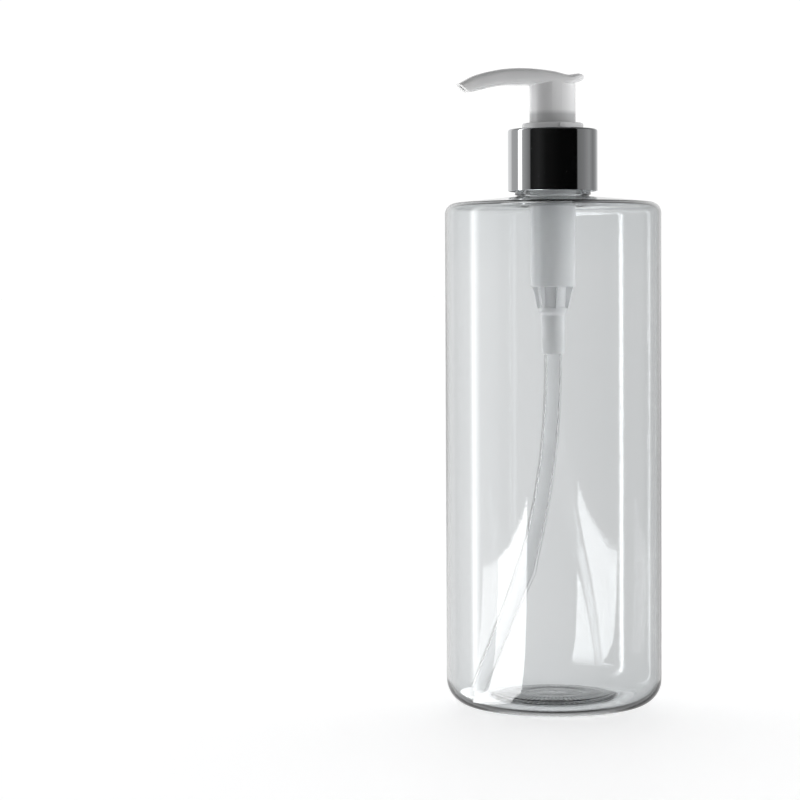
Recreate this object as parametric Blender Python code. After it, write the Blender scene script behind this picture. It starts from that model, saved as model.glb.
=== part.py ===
"""Pump oil bottle: a clear cylinder bottle with a screw neck and a fitted lotion pump.

Units are metres. The bottle stands on z = 0 with its axis on Z, and the spout points along -X.
Heights are worked out upwards from the base to the neck, and then through the pump's own stack.
"""
import math

import bmesh
import bpy
from mathutils import Matrix, Vector

# Clearances
SEAT_GAP = 0.0003        # between two faces that rest on each other
FIT_GAP = 0.0003         # radial, between two round pieces that fit in one another
STOP_GAP = 0.0010        # left between two moving faces at the end of the stroke

# Bottle body
BODY_DIAMETER = 0.0680
BODY_HEIGHT = 0.1584     # base to the top of the shoulder's rounded edge
WALL = 0.0010
BASE_WALL = 0.0014
BASE_CORNER = 0.0080     # outer radius of the rounded bottom edge
SHOULDER_CORNER = 0.0035
SHOULDER_RISE = 0.0017   # the almost flat shoulder climbs this much to the neck
FOOT_RING_WIDTH = 0.0055
PUSH_UP = 0.0022         # how far the base is domed up inside the foot ring

# Neck finish
NECK_DIAMETER = 0.0216   # thread root
NECK_WALL = 0.0014
NECK_HEIGHT = 0.0169
NECK_RING_HEIGHT = 0.0035
NECK_RING_UNDERCUT = 0.0006
THREAD_DEPTH = 0.00115
THREAD_PITCH = 0.003175
THREAD_BASE = 0.0018     # width of the thread's root
THREAD_CREST = 0.0009    # width of the thread's crest
THREAD_DROP = 0.0094     # neck land down to the thread's centre at angle zero
THREAD_START = -30.0     # degrees
THREAD_SWEEP = 630.0
CAP_THREAD_START = 90.0
CAP_THREAD_SWEEP = 450.0
THREAD_FADE = 40.0       # degrees over which a thread's ends run out
THREAD_ROOT_SINK = 0.0004

# Collar: screw closure and its bright overshell
CLOSURE_WALL = 0.00115
CLOSURE_TOP = 0.0010
SHELL_WALL = 0.0004
SHELL_EDGE = 0.0008      # rounded top edge
COLLAR_LIFT = 0.0018     # shell's lower edge above the neck root
CLOSURE_RECESS = 0.0004  # closure's lower edge above the shell's
THREAD_CLEARANCE = 0.00035
CLOSURE_HOLE_ROOM = 0.0004
SHELL_HOLE_ROOM = 0.00055

# Gasket, housing cup, chaplet
GASKET_THICKNESS = 0.0008
FLANGE_THICKNESS = 0.0009
FLANGE_ROOM = 0.0008
CUP_WALL = 0.00065
CUP_SPARE = 0.0011       # cup's depth past the stroke
CUP_FLOOR = 0.0020
CHAPLET_WALL = 0.0006
CHAPLET_FLOOR = 0.0012
CHAPLET_RIM = 0.0023
CHAPLET_RIM_REACH = 0.0015
CHAPLET_EDGE = 0.0007
NIB_WIDTH = 0.0018
NIB_HEIGHT = 0.0011
NIB_REACH = 0.0006
NIB_HEADING = -89.0      # degrees
SLEEVE_WALL = 0.0012
SLEEVE_LENGTH = 0.0065
SLEEVE_ROOM = 0.00115    # between the skirt's inside and the sleeve's outside

# Pump engine
STROKE = 0.0112
PISTON_SLIP = 0.0015
BALL_LIFT = 0.0015
SKIRT_WALL = 0.0011
STEM_WALL = 0.0013
STEM_BELOW_SEAL = 0.0026
SEAL_FLANGE = 0.0009
SEAL_SEAT = 0.0007       # width of the ledge that the seal's flange rests on
SEAL_LIP_LENGTH = 0.0015
SEAL_LIP_WALL = 0.0009
CYLINDER_STEP = 0.0018   # cup's outside to the cylinder's outside
CYLINDER_WALL = 0.0014
CYLINDER_DRAFT = 0.0003
CYLINDER_FLOOR = 0.0012
CUP_CHAMFER = 0.0010
VENT_DIAMETER = 0.0010
VENT_BELOW_SEAL = 0.0018
PISTON_HEIGHT = 0.0060
PISTON_HUB_WALL = 0.0010
PISTON_WEB = 0.0010
PISTON_LIP_WALL = 0.0007
PISTON_WAIST = 0.00035   # how far the piston's waist is drawn in from its lips
ROD_FLANGE = 0.0012
ROD_SEAT_OVERLAP = 0.0012
ROD_REACH_IN_STEM = 0.0065
ROD_SPIGOT = 0.0060
ROD_RIB = 0.0009
WIRE = 0.0009
SPRING_COILS = 6.5
SPRING_END_COILS = 0.75
SPRING_SPARE = 0.00165   # spring length left over coil-bound at full stroke
SPRING_ROOM = 0.00165    # between the cylinder's bore and the spring's outside
ROD_SPIGOT_ROOM = 0.00045

# Finned cone, intake valve and dip tube socket
BALL_DIAMETER = 0.0040
BALL_ROOM = 0.0005
PORT_DIAMETER = 0.0024
CONE_LENGTH = 0.0085
CONE_WALL = 0.0015
FIN_COUNT = 6
FIN_THICKNESS = 0.0009
FIN_FOOT = 0.0004        # fin's width past the cone at its lower end
SOCKET_LENGTH = 0.0126
SOCKET_WALL = 0.0004
SOCKET_ROOT_WALL = 0.00095
SOCKET_STOP = 0.0006     # tube stop below the cone's lower end
TUBE_DIAMETER = 0.0056
TUBE_WALL = 0.0008
TUBE_HEADING = 166.0     # degrees, the side of the base that the tube leans to
TUBE_CREASE_HEIGHT = 0.0420
TUBE_CREASE_OFFSET = 0.0090
TUBE_CURL = 2.15         # exponent of the upper stretch's curve
TUBE_FOOT_INSET = 0.0020
TUBE_FOOT_HEIGHT = 0.0040

# Head
HEAD_CLEARANCE = 0.0006  # head's underside over the chaplet's rim at full stroke, before its sag
SOCKET_ROOF = 0.0010     # stem socket's end below the head's underside
BOSS_WALL = 0.00095
OUTLET_DIAMETER = 0.0032
HEAD_SECTION_POWER = 3.2
# Stations from tip to thumb rest: x, centre height over the head's underside, half height,
# half width, tilt in degrees
HEAD_STATIONS = (
    (-0.0295, -0.00120, 0.00190, 0.0031, 51.0),
    (-0.0276, -0.00055, 0.00215, 0.0034, 36.0),
    (-0.0248, 0.00050, 0.00240, 0.0038, 21.0),
    (-0.0205, 0.00165, 0.00245, 0.0043, 13.0),
    (-0.0160, 0.00240, 0.00250, 0.0050, 6.0),
    (-0.0110, 0.00260, 0.00260, 0.0059, 0.0),
    (-0.0060, 0.00250, 0.00245, 0.0068, -4.0),
    (-0.0010, 0.00205, 0.00225, 0.0074, -7.0),
    (0.0035, 0.00150, 0.00180, 0.0075, -2.0),
    (0.0060, 0.00205, 0.00150, 0.0070, 5.0),
    (0.0080, 0.00245, 0.00125, 0.0058, 8.0),
    (0.0088, 0.00240, 0.00085, 0.0044, 0.0),
)
OUTLET_STATIONS = 4      # stations near the tip that the outlet channel follows

# Facets
ROUND_STEPS = 40
SMALL_STEPS = 32
TINY_STEPS = 24
TUBE_SIDES = 14
HELIX_STEP = 11.25       # degrees

# Radii, from the neck inwards to the piston rod and outwards to the shell
body_radius = BODY_DIAMETER / 2
neck_radius = NECK_DIAMETER / 2
neck_bore = neck_radius - NECK_WALL
thread_radius = neck_radius + THREAD_DEPTH
closure_bore = thread_radius + FIT_GAP
closure_radius = closure_bore + CLOSURE_WALL
shell_bore = closure_radius + FIT_GAP
shell_radius = shell_bore + SHELL_WALL
flange_radius = closure_bore - FLANGE_ROOM
cup_radius = neck_bore - FIT_GAP
cup_bore = cup_radius - CUP_WALL
chaplet_radius = cup_bore - FIT_GAP
chaplet_bore = chaplet_radius - CHAPLET_WALL
rim_radius = chaplet_radius + CHAPLET_RIM_REACH
skirt_radius = chaplet_bore - FIT_GAP
skirt_bore = skirt_radius - SKIRT_WALL
sleeve_radius = skirt_bore - SLEEVE_ROOM
sleeve_bore = sleeve_radius - SLEEVE_WALL
stem_radius = sleeve_bore - FIT_GAP
stem_bore = stem_radius - STEM_WALL
rod_radius = stem_bore - FIT_GAP
cylinder_radius = cup_radius - CYLINDER_STEP
cylinder_bore = cylinder_radius - CYLINDER_WALL
piston_radius = cylinder_bore - FIT_GAP
spring_radius = cylinder_bore - SPRING_ROOM - WIRE / 2
ball_radius = BALL_DIAMETER / 2
chamber_radius = ball_radius + BALL_ROOM
cone_radius = chamber_radius + CONE_WALL
tube_radius = TUBE_DIAMETER / 2
socket_bore = tube_radius + FIT_GAP

# Heights, upwards to the collar
neck_root = BODY_HEIGHT + SHOULDER_RISE
neck_top = neck_root + NECK_HEIGHT
shell_foot = neck_root + COLLAR_LIFT
closure_foot = shell_foot + CLOSURE_RECESS
gasket_foot = neck_top + SEAT_GAP
flange_foot = gasket_foot + GASKET_THICKNESS + SEAT_GAP
flange_top = flange_foot + FLANGE_THICKNESS
closure_ceiling = flange_top + SEAT_GAP
closure_top = closure_ceiling + CLOSURE_TOP
shell_ceiling = closure_top + SEAT_GAP
shell_top = shell_ceiling + SHELL_WALL
rim_foot = closure_top + SEAT_GAP
rim_top = rim_foot + CHAPLET_RIM

# Heights, downwards through the pump
cup_floor = flange_top - STROKE - CUP_SPARE
chaplet_foot = cup_floor + SEAT_GAP
chaplet_floor = chaplet_foot + CHAPLET_FLOOR
sleeve_top = chaplet_floor + SLEEVE_LENGTH
seal_ledge = cup_floor - SEAL_FLANGE - SEAT_GAP
seal_foot = seal_ledge - SEAL_LIP_LENGTH
stem_foot = seal_foot - STEM_BELOW_SEAL
piston_top = stem_foot - SEAT_GAP - PISTON_SLIP
piston_foot = piston_top - PISTON_HEIGHT
rod_flange_top = piston_foot - SEAT_GAP
rod_flange_foot = rod_flange_top - ROD_FLANGE
spring_top = rod_flange_foot - SEAT_GAP
spring_length = STROKE + SPRING_COILS * WIRE + SPRING_SPARE
spring_foot = spring_top - spring_length
cylinder_floor = spring_foot - SEAT_GAP
cylinder_foot = cylinder_floor - CYLINDER_FLOOR
cone_foot = cylinder_foot - CONE_LENGTH
socket_top = cone_foot - SOCKET_STOP
socket_foot = cone_foot - SOCKET_LENGTH
ball_height = cylinder_foot - SEAT_GAP - BALL_LIFT - ball_radius

# Heights, upwards through the head
skirt_foot = chaplet_floor + STROKE + STOP_GAP
boss_foot = sleeve_top + STROKE + STOP_GAP / 2
head_foot = rim_top + STROKE + HEAD_CLEARANCE
stem_top = head_foot - SOCKET_ROOF
boss_ceiling = stem_top + SEAT_GAP


def clear_scene():
    for old in list(bpy.data.objects):
        bpy.data.objects.remove(old, do_unlink=True)


def material(name, colour, roughness, metallic=0.0):
    made = bpy.data.materials.new(name)
    made.use_nodes = True
    shader = made.node_tree.nodes["Principled BSDF"]
    shader.inputs["Base Color"].default_value = (*colour, 1.0)
    shader.inputs["Roughness"].default_value = roughness
    shader.inputs["Metallic"].default_value = metallic
    return made


def finished(name, bm, finish=None):
    """Turn a bmesh into a named object with outward faces and smooth round sides."""
    bmesh.ops.recalc_face_normals(bm, faces=bm.faces)
    mesh = bpy.data.meshes.new(name)
    bm.to_mesh(mesh)
    bm.free()
    mesh.shade_smooth()
    mesh.set_sharp_from_angle(angle=math.radians(35))
    made = bpy.data.objects.new(name, mesh)
    bpy.context.collection.objects.link(made)
    if finish:
        mesh.materials.append(finish)
    return made


def arc(centre_r, centre_z, radius, start, end, steps):
    """Points of an arc in the radius-height plane, angles in degrees."""
    points = []
    for i in range(steps + 1):
        angle = math.radians(start + (end - start) * i / steps)
        points.append((centre_r + radius * math.cos(angle), centre_z + radius * math.sin(angle)))
    return points


def spun(outline, steps):
    """Spin a radius-height outline about Z. An outline that ends on the axis stays open there."""
    bm = bmesh.new()
    verts = [bm.verts.new((r, 0.0, z)) for r, z in outline]
    pairs = list(zip(verts, verts[1:]))
    on_axis = outline[0][0] == 0.0 and outline[-1][0] == 0.0
    if not on_axis:
        pairs.append((verts[-1], verts[0]))
    edges = [bm.edges.new(pair) for pair in pairs]
    bmesh.ops.spin(bm, geom=verts + edges, cent=(0, 0, 0), axis=(0, 0, 1),
                   angle=math.tau, steps=steps, use_merge=True)
    bmesh.ops.remove_doubles(bm, verts=bm.verts, dist=1e-6)
    return bm


def turned(name, outline, finish=None, steps=SMALL_STEPS):
    return finished(name, spun(outline, steps), finish)


def ring(profile, frame, bm):
    """A closed loop of edges: a flat profile placed by a frame."""
    verts = [bm.verts.new(frame @ Vector((x, y, 0.0))) for x, y in profile]
    return [bm.edges.new((verts[i - 1], verts[i])) for i in range(len(verts))]


def swept(bm, profile, frames):
    """Carry a profile through frames. Returns the first and the last loop of edges."""
    first = ring(profile, frames[0], bm)
    loop = first
    for before, after in zip(frames, frames[1:]):
        out = bmesh.ops.extrude_edge_only(bm, edges=loop)["geom"]
        moved = [item for item in out if isinstance(item, bmesh.types.BMVert)]
        fresh = set(moved)
        loop = [item for item in out if isinstance(item, bmesh.types.BMEdge)
                and fresh.issuperset(item.verts)]
        bmesh.ops.transform(bm, verts=moved, matrix=after @ before.inverted())
    return first, loop


def close_ends(bm, *loops):
    for loop in loops:
        bmesh.ops.edgeloop_fill(bm, edges=loop)


def circle(radius, steps):
    return [(radius * math.cos(math.tau * i / steps), radius * math.sin(math.tau * i / steps))
            for i in range(steps)]


def boolean(target, tool, operation):
    """Add or take away a tool body, which stays in the file as a hidden guide."""
    tool.hide_render = True
    tool.display_type = "WIRE"
    step = target.modifiers.new(operation.title(), "BOOLEAN")
    step.operation = operation
    step.object = tool
    step.solver = "EXACT"


def thread_height(angle):
    """Height of the neck thread's centre line at an angle in degrees."""
    return neck_top - THREAD_DROP + THREAD_PITCH * angle / 360


def thread(name, root, crest, start, sweep, drop):
    """A helical ridge from a root radius to a crest radius, run out at both ends."""
    reach = crest - root
    sink = math.copysign(THREAD_ROOT_SINK, reach)
    profile = [(-sink, -THREAD_BASE / 2), (0.0, -THREAD_BASE / 2), (reach, -THREAD_CREST / 2),
               (reach, THREAD_CREST / 2), (0.0, THREAD_BASE / 2), (-sink, THREAD_BASE / 2)]
    count = round(sweep / HELIX_STEP)
    frames = []
    for i in range(count + 1):
        angle = start + sweep * i / count
        run = min(angle - start, start + sweep - angle) / THREAD_FADE
        fade = max(0.05, min(1.0, run))
        height = thread_height(angle) - drop
        turn = Matrix.Rotation(math.radians(angle), 4, "Z")
        stand = Matrix.Rotation(math.radians(90), 4, "X")
        shift = Matrix.Translation((root - sink * (1 - fade), 0.0, height))
        frames.append(turn @ shift @ stand @ Matrix.Diagonal((fade, fade, 1.0, 1.0)))
    bm = bmesh.new()
    close_ends(bm, *swept(bm, profile, frames))
    return finished(name, bm)


def make_bottle(finish):
    foot_inner = body_radius - BASE_CORNER - FOOT_RING_WIDTH
    dome_edge = foot_inner - PUSH_UP
    inner_corner = BASE_CORNER - WALL
    inner_shoulder = SHOULDER_CORNER - WALL
    ring_top = neck_root + NECK_RING_HEIGHT
    root_radius = neck_radius + 2 * THREAD_DEPTH
    ring_foot = neck_root + NECK_RING_UNDERCUT
    outside = [(0.0, PUSH_UP), (dome_edge, PUSH_UP * 0.8), (foot_inner, 0.0)]
    outside += arc(body_radius - BASE_CORNER, BASE_CORNER, BASE_CORNER, -90, 0, 6)
    outside += arc(body_radius - SHOULDER_CORNER, BODY_HEIGHT - SHOULDER_CORNER, SHOULDER_CORNER, 0, 85, 5)
    outside += [(root_radius, neck_root), (neck_radius + NECK_RING_UNDERCUT, neck_root + 0.0002),
                (neck_radius + NECK_RING_UNDERCUT, ring_foot), (thread_radius, ring_foot),
                (thread_radius, ring_top), (neck_radius, ring_top), (neck_radius, neck_top)]
    inside = [(neck_bore, neck_top), (neck_bore, neck_root - WALL)]
    inside += arc(body_radius - SHOULDER_CORNER, BODY_HEIGHT - SHOULDER_CORNER, inner_shoulder, 85, 0, 4)
    inside += arc(body_radius - BASE_CORNER, BASE_WALL + inner_corner, inner_corner, 0, -90, 5)
    inside += [(foot_inner, BASE_WALL), (dome_edge, PUSH_UP * 0.8 + BASE_WALL), (0.0, PUSH_UP + BASE_WALL)]
    bottle = turned("bottle", outside + inside, finish, ROUND_STEPS)
    ridge = thread("neck_thread_guide", neck_radius, thread_radius, THREAD_START, THREAD_SWEEP, 0.0)
    boolean(bottle, ridge, "UNION")
    return bottle


def make_closure(finish):
    hole = chaplet_radius + CLOSURE_HOLE_ROOM
    outline = [(hole, closure_top), (closure_radius - SHELL_WALL, closure_top),
               (closure_radius, closure_top - SHELL_WALL), (closure_radius, closure_foot),
               (closure_bore, closure_foot), (closure_bore, closure_ceiling), (hole, closure_ceiling)]
    closure = turned("closure", outline, finish, ROUND_STEPS)
    ridge = thread("cap_thread_guide", closure_bore, neck_radius + THREAD_CLEARANCE,
                   CAP_THREAD_START, CAP_THREAD_SWEEP, THREAD_PITCH / 2)
    boolean(closure, ridge, "UNION")
    return closure


def make_collar_shell(finish):
    hole = rim_radius + SHELL_HOLE_ROOM
    inner_edge = SHELL_EDGE - SHELL_WALL
    outline = [(hole, shell_top)]
    outline += arc(shell_radius - SHELL_EDGE, shell_top - SHELL_EDGE, SHELL_EDGE, 90, 0, 4)
    outline += [(shell_radius, shell_foot), (shell_bore, shell_foot)]
    outline += arc(shell_radius - SHELL_EDGE, shell_top - SHELL_EDGE, inner_edge, 0, 90, 3)
    outline += [(hole, shell_ceiling)]
    return turned("collar_shell", outline, finish, ROUND_STEPS)


def make_gasket(finish):
    top = gasket_foot + GASKET_THICKNESS
    outline = [(flange_radius, top), (flange_radius, gasket_foot), (neck_bore, gasket_foot), (neck_bore, top)]
    return turned("gasket", outline, finish, ROUND_STEPS)


def make_chaplet(finish):
    edge = CHAPLET_EDGE
    outline = [(chaplet_bore, rim_top)]
    outline += arc(rim_radius - edge, rim_top - edge, edge, 90, 0, 3)
    outline += [(rim_radius, rim_foot), (chaplet_radius, rim_foot), (chaplet_radius, chaplet_foot),
                (sleeve_bore, chaplet_foot), (sleeve_bore, sleeve_top), (sleeve_radius, sleeve_top),
                (sleeve_radius, chaplet_floor), (chaplet_bore, chaplet_floor)]
    chaplet = turned("chaplet", outline, finish)
    bm = bmesh.new()
    reach = NIB_REACH + CHAPLET_RIM_REACH / 2
    middle = Vector((rim_radius + NIB_REACH - reach / 2, 0.0, shell_top + SEAT_GAP + NIB_HEIGHT / 2))
    turn = Matrix.Rotation(math.radians(NIB_HEADING), 4, "Z")
    size = Matrix.Diagonal((reach, NIB_WIDTH, NIB_HEIGHT, 1.0))
    bmesh.ops.create_cube(bm, size=1.0, matrix=turn @ Matrix.Translation(middle) @ size)
    boolean(chaplet, finished("index_nib_guide", bm), "UNION")
    return chaplet


def make_stem_seal(finish):
    top = cup_floor - SEAT_GAP / 2
    flange = cylinder_bore + SEAL_SEAT - FIT_GAP
    bore = stem_radius + FIT_GAP
    foot = seal_ledge + SEAT_GAP / 2
    outline = [(bore, top), (flange, top), (flange, foot), (bore + SEAL_LIP_WALL, foot),
               (bore + SEAL_LIP_WALL / 2, seal_foot), (bore, seal_foot)]
    return turned("stem_seal", outline, finish, TINY_STEPS)


def make_housing(finish):
    draft_radius = cylinder_radius - CYLINDER_DRAFT
    cup_foot = cup_floor - CUP_FLOOR
    hole = ball_radius - FIT_GAP
    port = PORT_DIAMETER / 2
    seat_foot = ball_height + port - math.sqrt(2) * (ball_radius + SEAT_GAP)
    seat_top = seat_foot + chamber_radius - port
    ledge = cylinder_bore + SEAL_SEAT
    outline = [
        (cup_bore, flange_top), (flange_radius, flange_top), (flange_radius, flange_foot),
        (cup_radius, flange_foot), (cup_radius, cup_foot), (cylinder_radius, cup_foot - CUP_CHAMFER),
        (draft_radius, cylinder_foot), (cone_radius, cylinder_foot), (cone_radius, cone_foot),
        (socket_bore + SOCKET_ROOT_WALL, cone_foot), (socket_bore + SOCKET_WALL, socket_foot),
        (socket_bore, socket_foot), (socket_bore, socket_top), (port, socket_top), (port, seat_foot),
        (chamber_radius, seat_top), (chamber_radius, cylinder_foot), (hole, cylinder_foot),
        (hole, cylinder_floor), (cylinder_bore, cylinder_floor), (cylinder_bore, seal_ledge),
        (ledge, seal_ledge), (ledge, cup_floor), (cup_bore, cup_floor)]
    housing = turned("housing", outline, finish)
    boolean(housing, make_fins(draft_radius), "UNION")
    boolean(housing, make_vent(), "DIFFERENCE")
    return housing


def make_fins(top_radius):
    """Triangular ribs round the cone, one body with separate ribs."""
    inner = cone_radius - CONE_WALL / 2
    lower = cone_radius + FIN_FOOT
    sink = CYLINDER_FLOOR / 2
    outline = [(inner, cylinder_foot + sink), (top_radius - FIN_FOOT, cylinder_foot + sink),
               (top_radius - FIN_FOOT, cylinder_foot), (lower, cone_foot + FIN_FOOT),
               (inner, cone_foot + FIN_FOOT)]
    bm = bmesh.new()
    for i in range(FIN_COUNT):
        turn = Matrix.Rotation(math.tau * (i + 0.5) / FIN_COUNT, 4, "Z")
        stand = Matrix.Rotation(math.radians(90), 4, "X")
        sides = [turn @ Matrix.Translation((0.0, side * FIN_THICKNESS / 2, 0.0)) @ stand for side in (-1, 1)]
        close_ends(bm, *swept(bm, outline, sides))
    return finished("fins_guide", bm)


def make_vent():
    bm = bmesh.new()
    turn = Matrix.Rotation(math.radians(90), 4, "Y")
    place = Matrix.Translation((cylinder_radius - CYLINDER_WALL / 2, 0.0, seal_foot - VENT_BELOW_SEAL))
    bmesh.ops.create_cone(bm, cap_ends=True, segments=12, radius1=VENT_DIAMETER / 2,
                          radius2=VENT_DIAMETER / 2, depth=2 * CYLINDER_WALL, matrix=place @ turn)
    return finished("vent_guide", bm)


def make_stem(finish):
    outline = [(stem_bore, stem_top), (stem_radius, stem_top), (stem_radius, stem_foot), (stem_bore, stem_foot)]
    return turned("stem", outline, finish, TINY_STEPS)


def make_piston_rod(finish):
    """Flange with a spring spigot below and a four-ribbed shank above."""
    spigot = spring_radius - WIRE / 2 - ROD_SPIGOT_ROOM
    flange = rod_radius + FIT_GAP + PISTON_HUB_WALL + ROD_SEAT_OVERLAP
    outline = [(0.0, rod_flange_top), (flange, rod_flange_top), (flange, rod_flange_foot),
               (spigot, rod_flange_foot), (spigot, rod_flange_foot - ROD_SPIGOT), (0.0, rod_flange_foot - ROD_SPIGOT)]
    rod = turned("piston_rod", outline, finish, TINY_STEPS)
    half = ROD_RIB / 2
    cross = []
    for i in range(4):
        turn = Matrix.Rotation(math.tau * i / 4, 2)
        cross += [tuple(turn @ Vector(p)) for p in ((rod_radius, -half), (rod_radius, half), (half, half))]
    foot = Matrix.Translation((0.0, 0.0, rod_flange_top - ROD_FLANGE / 2))
    top = Matrix.Translation((0.0, 0.0, stem_foot + ROD_REACH_IN_STEM))
    bm = bmesh.new()
    close_ends(bm, *swept(bm, cross, [foot, top]))
    boolean(rod, finished("shank_guide", bm), "UNION")
    return rod


def make_piston(finish):
    hub_bore = rod_radius + FIT_GAP
    hub = hub_bore + PISTON_HUB_WALL
    middle = (piston_top + piston_foot) / 2
    waist = piston_radius - PISTON_WAIST
    lip = piston_radius - PISTON_LIP_WALL
    web = PISTON_WEB / 2
    outline = [(hub_bore, piston_top), (hub, piston_top), (hub, middle + web),
               (waist - PISTON_LIP_WALL, middle + web), (lip, piston_top), (piston_radius, piston_top),
               (waist, middle), (piston_radius, piston_foot), (lip, piston_foot),
               (waist - PISTON_LIP_WALL, middle - web), (hub, middle - web), (hub, piston_foot),
               (hub_bore, piston_foot)]
    return turned("piston", outline, finish, TINY_STEPS)


def spring_height(turn_number):
    """Height of the wire's centre: closed coils at both ends, even pitch between them."""
    foot = spring_foot + WIRE / 2
    rise = WIRE * 1.08
    travel = spring_length - WIRE - 2 * rise * SPRING_END_COILS
    pitch = travel / (SPRING_COILS - 2 * SPRING_END_COILS)
    lower = min(turn_number, SPRING_END_COILS) * rise
    upper = max(0.0, turn_number - (SPRING_COILS - SPRING_END_COILS)) * rise
    active = min(max(turn_number - SPRING_END_COILS, 0.0), SPRING_COILS - 2 * SPRING_END_COILS) * pitch
    return foot + lower + active + upper


def make_spring(finish):
    steps_a_turn = 16
    count = round(SPRING_COILS * steps_a_turn)
    curve = bpy.data.curves.new("spring", "CURVE")
    curve.dimensions = "3D"
    curve.bevel_depth = WIRE / 2
    curve.bevel_resolution = 1
    curve.use_fill_caps = True
    line = curve.splines.new("POLY")
    line.points.add(count)
    for i, point in enumerate(line.points):
        angle = math.tau * i / steps_a_turn
        place = (spring_radius * math.cos(angle), spring_radius * math.sin(angle), spring_height(i / steps_a_turn))
        point.co = (*place, 1.0)
    curve.materials.append(finish)
    spring = bpy.data.objects.new("spring", curve)
    bpy.context.collection.objects.link(spring)
    return spring


def make_ball(finish):
    bm = bmesh.new()
    place = Matrix.Translation((0.0, 0.0, ball_height))
    bmesh.ops.create_uvsphere(bm, u_segments=16, v_segments=10, radius=ball_radius, matrix=place)
    return finished("inlet_ball", bm, finish)


def tube_route():
    """Centre line of the dip tube as distance from the axis and height, top to foot."""
    tube_top = socket_top - SEAT_GAP
    foot = body_radius - BASE_CORNER - TUBE_FOOT_INSET
    drop = socket_foot - TUBE_CREASE_HEIGHT
    route = [(0.0, tube_top), (0.0, (tube_top + socket_foot) / 2)]
    for i in range(11):
        share = i / 10
        route.append((TUBE_CREASE_OFFSET * share ** TUBE_CURL, socket_foot - drop * share))
    for i in range(1, 5):
        share = i / 4
        route.append((TUBE_CREASE_OFFSET + (foot - TUBE_CREASE_OFFSET) * share,
                      TUBE_CREASE_HEIGHT + (TUBE_FOOT_HEIGHT - TUBE_CREASE_HEIGHT) * share))
    return route


def make_dip_tube(finish):
    route = tube_route()
    heading = Matrix.Rotation(math.radians(TUBE_HEADING), 4, "Z")
    frames = []
    for i, (offset, height) in enumerate(route):
        before = Vector(route[max(i - 1, 0)])
        after = Vector(route[min(i + 1, len(route) - 1)])
        lean = math.atan2(after.x - before.x, before.y - after.y)
        place = Matrix.Translation((offset, 0.0, height))
        frames.append(heading @ place @ Matrix.Rotation(-lean, 4, "Y"))
    bm = bmesh.new()
    bmesh.ops.create_circle(bm, cap_ends=True, segments=TUBE_SIDES, radius=tube_radius, matrix=frames[0])
    bore = list(bm.faces)
    wall = bmesh.ops.inset_region(bm, faces=bore, thickness=TUBE_WALL, use_boundary=True,
                                  use_even_offset=True)["faces"]
    bmesh.ops.delete(bm, geom=bore, context="FACES")
    top = set(wall)
    for before, after in zip(frames, frames[1:]):
        out = bmesh.ops.extrude_face_region(bm, geom=wall)["geom"]
        bmesh.ops.delete(bm, geom=[face for face in wall if face not in top], context="FACES_ONLY")
        moved = [item for item in out if isinstance(item, bmesh.types.BMVert)]
        wall = [item for item in out if isinstance(item, bmesh.types.BMFace)]
        bmesh.ops.transform(bm, verts=moved, matrix=after @ before.inverted())
    return finished("dip_tube", bm, finish)


def head_section(steps=24):
    """A unit rounded rectangle: a superellipse."""
    points = []
    for i in range(steps):
        angle = math.tau * i / steps
        power = 2 / HEAD_SECTION_POWER
        across = math.copysign(abs(math.cos(angle)) ** power, math.cos(angle))
        up = math.copysign(abs(math.sin(angle)) ** power, math.sin(angle))
        points.append((across, up))
    return points


def head_frame(x, height, half_height, half_width, tilt):
    """Frame of a section square to the spout: across is Y, up is Z, leaning by tilt."""
    across_up = Matrix(((0, 0, 1, 0), (1, 0, 0, 0), (0, 1, 0, 0), (0, 0, 0, 1)))
    place = Matrix.Translation((x, 0.0, head_foot + height))
    lean = Matrix.Rotation(math.radians(-tilt), 4, "Y")
    return place @ lean @ across_up @ Matrix.Diagonal((half_width, half_height, 1.0, 1.0))


def outlet_route():
    """Centre line of the outlet: up from the stem socket, then along the spout to its tip."""
    along = HEAD_STATIONS[5]
    route = [Vector((0.0, 0.0, boss_ceiling - SOCKET_ROOF / 2)),
             Vector((-OUTLET_DIAMETER / 4, 0.0, head_foot + along[1] / 2)),
             Vector((-OUTLET_DIAMETER, 0.0, head_foot + along[1] * 0.85)),
             Vector((along[0], 0.0, head_foot + along[1]))]
    for x, height, *_ in reversed(HEAD_STATIONS[:OUTLET_STATIONS]):
        route.append(Vector((x, 0.0, head_foot + height)))
    route.append(route[-1] + (route[-1] - route[-2]).normalized() * OUTLET_DIAMETER)
    return route


def make_outlet():
    route = outlet_route()
    frames = []
    for i, point in enumerate(route):
        heading = route[min(i + 1, len(route) - 1)] - route[max(i - 1, 0)]
        lean = Vector((0.0, 0.0, 1.0)).rotation_difference(heading).to_matrix().to_4x4()
        frames.append(Matrix.Translation(point) @ lean)
    bm = bmesh.new()
    close_ends(bm, *swept(bm, circle(OUTLET_DIAMETER / 2, 12), frames))
    return finished("outlet_guide", bm)


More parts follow.
